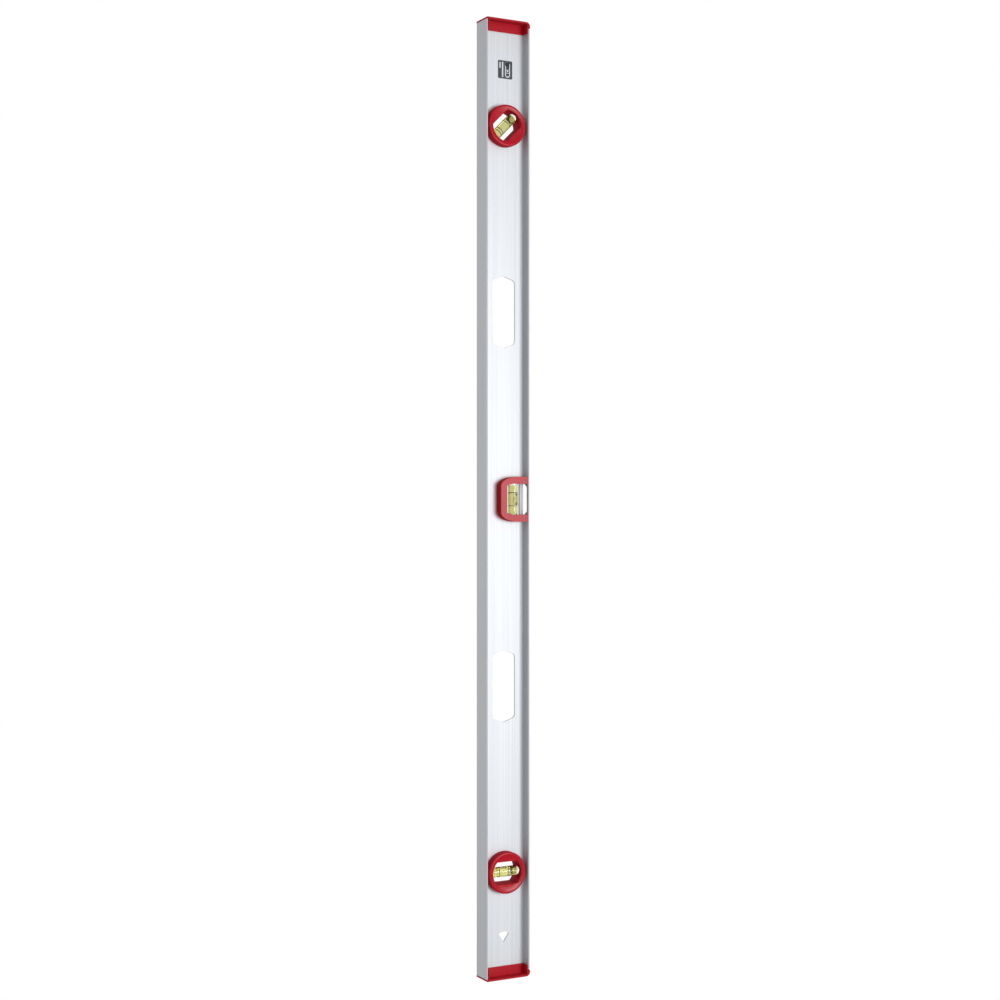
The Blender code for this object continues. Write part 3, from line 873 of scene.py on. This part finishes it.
# Dyed alcohol: clear yellow-green. It fills the bore without a gap, so only the small step in
# refraction between it and the acrylic is left.
SWIRL = 9 * MM
dyed_alcohol = new_material("dyed_alcohol")
place = add_node(dyed_alcohol, "TexCoord")
swirl = add_node(
    dyed_alcohol,
    "TexNoise",
    {"Vector": place.outputs["Object"], "Scale": 1 / SWIRL, "Detail": 2},
)
tone = add_node(dyed_alcohol, "ValToRGB", {"Fac": swirl.outputs["Fac"]})
tone.color_ramp.elements[0].color = linear("#CAC985")
tone.color_ramp.elements[1].color = linear("#D4D08E")
dye = add_node(
    dyed_alcohol,
    "BsdfPrincipled",
    {
        "Base Color": tone.outputs["Color"],
        "Roughness": 0.0,
        "IOR": 1.08,
        "Transmission Weight": 1.0,
    },
)
add_node(dyed_alcohol, "OutputMaterial", {"Surface": dye.outputs[0]})

# Air in the liquid: its wall bends light strongly, so the bubble shows by its bright middle and
# dark outline. Its olive-grey tint is painted shade: clear air has no colour, and the tint dims
# the light through the whole bubble so that it looks shaded.
SHADE_MOTTLE = 4 * MM
trapped_air = new_material("trapped_air")
place = add_node(trapped_air, "TexCoord")
shade_mottle = add_node(
    trapped_air, "TexNoise", {"Vector": place.outputs["Object"], "Scale": 1 / SHADE_MOTTLE}
)
# Both tints are painted shade, duller than clear air; the noise only varies it at random.
tone = add_node(trapped_air, "ValToRGB", {"Fac": shade_mottle.outputs["Fac"]})
tone.color_ramp.elements[0].color = linear("#C6C29C")
tone.color_ramp.elements[1].color = linear("#D5D0AC")
bubble_wall = add_node(
    trapped_air,
    "BsdfPrincipled",
    {
        "Base Color": tone.outputs["Color"],
        "Roughness": 0.0,
        "IOR": 1.36,
        "Transmission Weight": 1.0,
    },
)
add_node(trapped_air, "OutputMaterial", {"Surface": bubble_wall.outputs[0]})

# Nitrile rubber: a dull black, faintly mottled.
RUBBER_MOTTLE = 0.6 * MM  # coarse, so that it shows
rubber = new_material("nitrile_rubber")
place = add_node(rubber, "TexCoord")
skin = add_node(
    rubber, "TexNoise", {"Vector": place.outputs["Object"], "Scale": 1 / RUBBER_MOTTLE}
)
tone = add_node(rubber, "ValToRGB", {"Fac": skin.outputs["Fac"]})
tone.color_ramp.elements[0].color = linear("#1B1C1B")
tone.color_ramp.elements[1].color = linear("#343632")
dull = add_node(
    rubber, "BsdfPrincipled", {"Base Color": tone.outputs["Color"], "Roughness": 0.6, "IOR": 1.52}
)
add_node(rubber, "OutputMaterial", {"Surface": dull.outputs[0]})

LEVEL_BUBBLE = (14 * MM, 7 * MM, 3.6 * MM)  # length, width and depth
END_BUBBLE = (9 * MM, 8 * MM, 7.2 * MM)
END_BUBBLE_PLACE = 12.9 * MM  # from the middle of the tube towards its upper end
ROLLED = Matrix.Rotation(pi, 4, "X")  # turns the slanted vial so that its bubble lies on top
for vial_name, carrier in vial_places.items():
    lie = carrier @ ROLLED if vial_name == "slant" else carrier
    nodes = {
        "vial_tube": (tube_shape(f"acrylic_{vial_name}_tube"), acrylic, "vial_acrylic"),
        "vial_plug": (plug_shape(f"acrylic_{vial_name}_plug"), acrylic, "vial_acrylic"),
        "vial_liquid": (liquid_shape(f"{vial_name}_liquid"), dyed_alcohol, "vial_liquid"),
        "ring_left": (ring_shape(f"{vial_name}_reading_ring_left", -RING_PLACE), rubber, "ring"),
        "ring_right": (ring_shape(f"{vial_name}_reading_ring_right", RING_PLACE), rubber, "ring"),
    }
    for node, (piece, material, slot) in nodes.items():
        piece.data.transform(lie @ ALONG)
        put_on(piece, material, "level", f"{vial_name}_{node}", slot=slot)
    if vial_name == "level":
        bubble = bubble_shape("air_level_bubble", LEVEL_BUBBLE, 4)
    else:
        bubble = bubble_shape(f"air_{vial_name}_bubble", END_BUBBLE, 3)
        bubble.data.transform(Matrix.Translation((END_BUBBLE_PLACE, 0, 0)))
    bubble.data.transform(lie)
    put_on(bubble, trapped_air, f"{vial_name}_bubble", f"{vial_name}_bubble", slot="bubble")


# Floor
# A pale sheet under the level. It is seen from above only, so that the level can also be looked
# at from below, and it takes no part in lighting the level.
FLOOR_HALF = 8000 * MM
FLOOR_TOP = -0.3 * MM
FLOOR_BOTTOM = -10 * MM
floor = block((-FLOOR_HALF, -FLOOR_HALF, FLOOR_BOTTOM), (FLOOR_HALF, FLOOR_HALF, FLOOR_TOP))
floor.name = "floor"
# Matt paper: nearly white, with a faint cloudiness from its pulp.
PULP_CLOUD = 250 * MM
paper = new_material("matt_paper")
place = add_node(paper, "TexCoord")
pulp = add_node(
    paper, "TexNoise", {"Vector": place.outputs["Object"], "Scale": 1 / PULP_CLOUD, "Detail": 3}
)
tone = add_node(paper, "ValToRGB", {"Fac": pulp.outputs["Fac"]})
tone.color_ramp.elements[0].color = linear("#EFEFEF")
tone.color_ramp.elements[1].color = linear("#F4F4F4")
sheet = add_node(
    paper, "BsdfPrincipled", {"Base Color": tone.outputs["Color"], "Roughness": 0.9, "IOR": 1.3}
)
open_sheet = add_node(paper, "BsdfTransparent")
side = add_node(paper, "NewGeometry")
separate = add_node(paper, "SeparateXYZ", {"Vector": side.outputs["True Normal"]})
upward = add_node(paper, "Math", {0: separate.outputs["Z"], 1: 0.5}, operation="GREATER_THAN")
seen_from_above = add_node(
    paper,
    "MixShader",
    {0: upward.outputs[0], 1: open_sheet.outputs[0], 2: sheet.outputs[0]},
)
add_node(paper, "OutputMaterial", {"Surface": seen_from_above.outputs[0]})
floor.data.materials.append(paper)
floor.visible_diffuse = False
floor.visible_glossy = False
floor.visible_transmission = False
floor.visible_shadow = False


# Studio
# White walls before and behind the level, which the vials show clearly, and soft grey light all
# round. The main softbox hangs in front and above, where the web mirrors it downwards; a weak one
# lights the base from below, and one overhead lights the top.
WHITE = 1.0
SOFT_GREY = 0.5
BETWEEN_WALLS = 0.25
WALL_EDGE = (0.45, 0.72)  # sideways part of a direction, where a wall begins and where it is full
world = bpy.data.worlds.new("studio")
scene.world = world
world.use_nodes = True
world.node_tree.nodes.clear()
path = add_node(world, "LightPath")
place = add_node(world, "TexCoord")
split = add_node(world, "SeparateXYZ", {"Vector": place.outputs["Generated"]})
sideways = add_node(world, "Math", {0: split.outputs["Y"]}, operation="ABSOLUTE")
white_walls = add_node(
    world,
    "MapRange",
    {
        "Value": sideways.outputs[0],
        "From Min": WALL_EDGE[0],
        "From Max": WALL_EDGE[1],
        "To Min": BETWEEN_WALLS,
        "To Max": WHITE,
    },
)
through = add_node(
    world,
    "Mix",
    {
        "Factor": path.outputs["Is Transmission Ray"],
        "A": SOFT_GREY,
        "B": white_walls.outputs["Result"],
    },
)
level_of_light = add_node(
    world,
    "Mix",
    {"Factor": path.outputs["Is Camera Ray"], "A": through.outputs["Result"], "B": WHITE},
)
sky = add_node(
    world, "Background", {"Color": (1, 1, 1, 1), "Strength": level_of_light.outputs["Result"]}
)
add_node(world, "OutputWorld", {"Surface": sky.outputs[0]})


def softbox(name, direction, distance, size, radiance):
    """A rectangular light that faces the middle of the level from square to its length."""
    light = bpy.data.lights.new(name, "AREA")
    light.shape = "RECTANGLE"
    light.size, light.size_y = size
    light.energy = radiance * pi * size[0] * size[1]
    lamp = bpy.data.objects.new(name, light)
    scene.collection.objects.link(lamp)
    away = Vector(direction).normalized()
    across = Vector((1, 0, 0))
    axes = Matrix((across, away.cross(across), away)).transposed().to_4x4()
    lamp.matrix_world = Matrix.Translation(aimed_at + away * distance) @ axes
    lamp.visible_camera = False


softbox("key", (0, -0.955, 0.295), distance=3.0, size=(1.25, 1.5), radiance=8.1)
softbox("below_behind", (0, 0.87, -0.5), distance=2.0, size=(2.4, 1.2), radiance=0.45)
softbox("top", (0, 0.35, 0.94), distance=1.8, size=(1.4, 0.8), radiance=2.0)
scene.view_settings.view_transform = "Standard"
